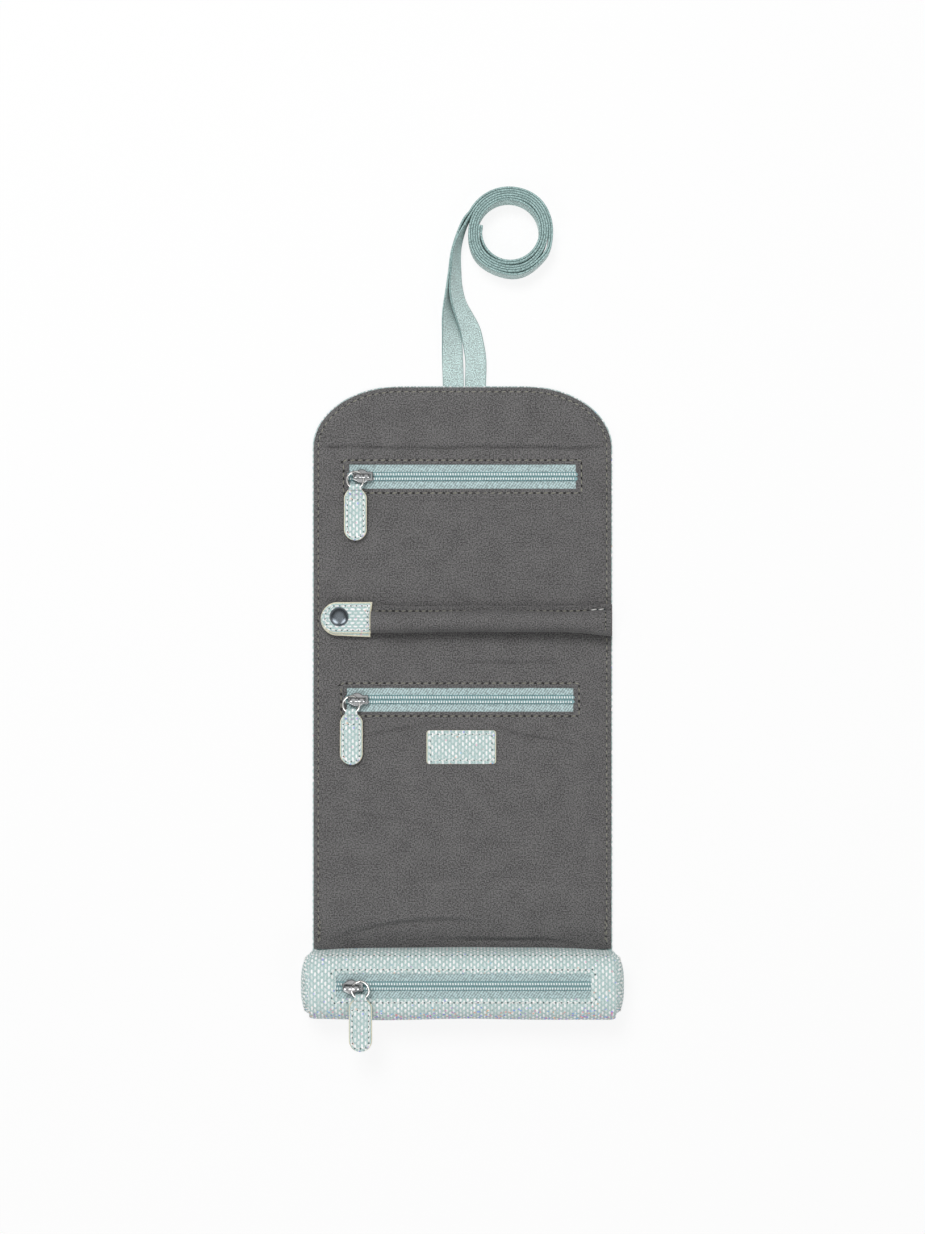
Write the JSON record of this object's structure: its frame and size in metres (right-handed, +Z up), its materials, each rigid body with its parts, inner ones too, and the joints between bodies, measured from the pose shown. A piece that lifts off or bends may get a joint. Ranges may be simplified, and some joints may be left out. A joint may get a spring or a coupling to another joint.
{
  "type": "jewelry roll",
  "caption": "Flat-lying travel jewellery roll: folding lined panel with zip pockets, a snap-down ring bar, a padded zip pouch at the end and two tie straps.",
  "frame": {"origin": "on the table under the middle of the roll laid open, halfway between the flap's edge and the tip of the pouch's pull tab", "axes": "+X across the roll to the right, +Y along the roll towards the tie straps, +Z up out of the lining"},
  "size_m": [0.1702, 0.4533, 0.0329],
  "materials": {
    "aqua_leather": "pale aqua coated leather, woven-look emboss with white shiny dashes",
    "suede_lining": "grey microsuede, matt short nap",
    "padding_foam": "soft padding, hidden",
    "zip_tape": "woven polyester tape, aqua",
    "zip_teeth": "nylon coil teeth, aqua",
    "nickel_hardware": "polished nickel plate",
    "snap_metal": "gunmetal plate, satin"
  },
  "bodies": {
    "middle_panel": {"middle_outer": "aqua_leather", "middle_padding": "padding_foam", "middle_lining": "suede_lining", "middle_pocket_bag": "suede_lining", "middle_zip_tape_upper": "zip_tape", "middle_zip_tape_lower": "zip_tape", "middle_zip_teeth_upper": "zip_teeth", "middle_zip_teeth_lower": "zip_teeth", "label_patch": "aqua_leather"},
    "ring_panel": {"ring_outer": "aqua_leather", "ring_padding": "padding_foam", "ring_lining": "suede_lining", "snap_stud": "snap_metal"},
    "upper_panel": {"upper_outer": "aqua_leather", "upper_padding": "padding_foam", "upper_lining": "suede_lining", "upper_pocket_bag": "suede_lining", "upper_zip_tape_upper": "zip_tape", "upper_zip_tape_lower": "zip_tape", "upper_zip_teeth_upper": "zip_teeth", "upper_zip_teeth_lower": "zip_teeth"},
    "flap": {"flap_outer": "aqua_leather", "flap_padding": "padding_foam", "flap_lining": "suede_lining", "tie_left_lead": "aqua_leather", "tie_left_coil": "aqua_leather", "tie_right_lead": "aqua_leather", "tie_right_coil": "aqua_leather"},
    "lower_panel": {"lower_outer": "aqua_leather", "lower_padding": "padding_foam", "lower_lining": "suede_lining"},
    "last_panel": {"last_outer": "aqua_leather", "last_padding": "padding_foam", "last_lining": "suede_lining"},
    "pouch": {"pouch_shell": "aqua_leather", "pouch_padding": "padding_foam", "pouch_liner": "suede_lining", "pouch_end_left": "aqua_leather", "pouch_end_right": "aqua_leather", "pouch_zip_tape_upper": "zip_tape", "pouch_zip_tape_lower": "zip_tape", "pouch_zip_teeth_upper": "zip_teeth", "pouch_zip_teeth_lower": "zip_teeth"},
    "ring_bar": {"ring_bar_cover": "suede_lining", "ring_bar_stuffing": "padding_foam"},
    "snap_tab": {"snap_tab": "aqua_leather", "snap_socket": "snap_metal", "snap_cap": "snap_metal"},
    "upper_slider": {"upper_slider": "nickel_hardware"},
    "upper_ring": {"upper_ring": "nickel_hardware"},
    "upper_pull_tab": {"upper_pull_tab": "aqua_leather"},
    "middle_slider": {"middle_slider": "nickel_hardware"},
    "middle_ring": {"middle_ring": "nickel_hardware"},
    "middle_pull_tab": {"middle_pull_tab": "aqua_leather"},
    "pouch_slider": {"pouch_slider": "nickel_hardware"},
    "pouch_ring": {"pouch_ring": "nickel_hardware"},
    "pouch_pull_tab": {"pouch_pull_tab": "aqua_leather"}
  },
  "joints": [
    {"name": "ring_fold", "type": "hinge", "parent": "middle_panel", "child": "ring_panel", "pos_m": [0, 0.01665, 0.005], "axis": [-1, 0, 0], "range_deg": [-80, 0]},
    {"name": "upper_fold", "type": "hinge", "parent": "ring_panel", "child": "upper_panel", "pos_m": [0, 0.08865, 0.005], "axis": [-1, 0, 0], "range_deg": [-88, 0]},
    {"name": "flap_fold", "type": "hinge", "parent": "upper_panel", "child": "flap", "pos_m": [0, 0.14115, 0.005], "axis": [-1, 0, 0], "range_deg": [-45, 0]},
    {"name": "lower_fold", "type": "hinge", "parent": "middle_panel", "child": "lower_panel", "pos_m": [0, -0.03285, 0.005], "axis": [1, 0, 0], "range_deg": [-87, 0]},
    {"name": "last_fold", "type": "hinge", "parent": "lower_panel", "child": "last_panel", "pos_m": [0, -0.08785, 0.005], "axis": [1, 0, 0], "range_deg": [-90, 0]},
    {"name": "pouch_fold", "type": "hinge", "parent": "last_panel", "child": "pouch", "pos_m": [0, -0.12335, 0.005], "axis": [1, 0, 0], "range_deg": [-90, 0]},
    {"name": "ring_bar_lift", "type": "hinge", "parent": "ring_panel", "child": "ring_bar", "pos_m": [0.0795, 0.04845, 0.0053], "axis": [0, 1, 0], "range_deg": [0, 90]},
    {"name": "snap_tab_lift", "type": "hinge", "parent": "ring_bar", "child": "snap_tab", "pos_m": [-0.04915, 0.05015, 0.0098], "axis": [0, 1, 0], "range_deg": [0, 60]},
    {"name": "upper_zip_slide", "type": "slide", "parent": "upper_panel", "child": "upper_slider", "axis": [1, 0, 0], "range_m": [0, 0.106]},
    {"name": "upper_ring_swing", "type": "hinge", "parent": "upper_slider", "child": "upper_ring", "pos_m": [-0.053, 0.12575, 0.0081], "axis": [-0.4545, 0.8907, 0], "range_deg": [0, 75]},
    {"name": "upper_tab_swing", "type": "hinge", "parent": "upper_ring", "child": "upper_pull_tab", "pos_m": [-0.05692, 0.11935, 0.0081], "axis": [-1, 0, 0], "range_deg": [0, 90]},
    {"name": "middle_zip_slide", "type": "slide", "parent": "middle_panel", "child": "middle_slider", "axis": [1, 0, 0], "range_m": [0, 0.108]},
    {"name": "middle_ring_swing", "type": "hinge", "parent": "middle_slider", "child": "middle_ring", "pos_m": [-0.0554, 0.00695, 0.0081], "axis": [-0.5455, 0.8381, 0], "range_deg": [0, 75]},
    {"name": "middle_tab_swing", "type": "hinge", "parent": "middle_ring", "child": "middle_pull_tab", "pos_m": [-0.05909, 0.00015, 0.0081], "axis": [-1, 0, 0], "range_deg": [0, 90]},
    {"name": "pouch_zip_slide", "type": "slide", "parent": "pouch", "child": "pouch_slider", "axis": [1, 0, 0], "range_m": [0, 0.115]},
    {"name": "pouch_ring_swing", "type": "hinge", "parent": "pouch_slider", "child": "pouch_ring", "pos_m": [-0.05705, -0.14075, 0.0309], "axis": [-0.2727, -0.9621, 0], "range_deg": [0, 75]},
    {"name": "pouch_tab_swing", "type": "hinge", "parent": "pouch_ring", "child": "pouch_pull_tab", "pos_m": [-0.05282, -0.14635, 0.0309], "axis": [-1, 0, 0], "range_deg": [0, 90]}
  ]
}
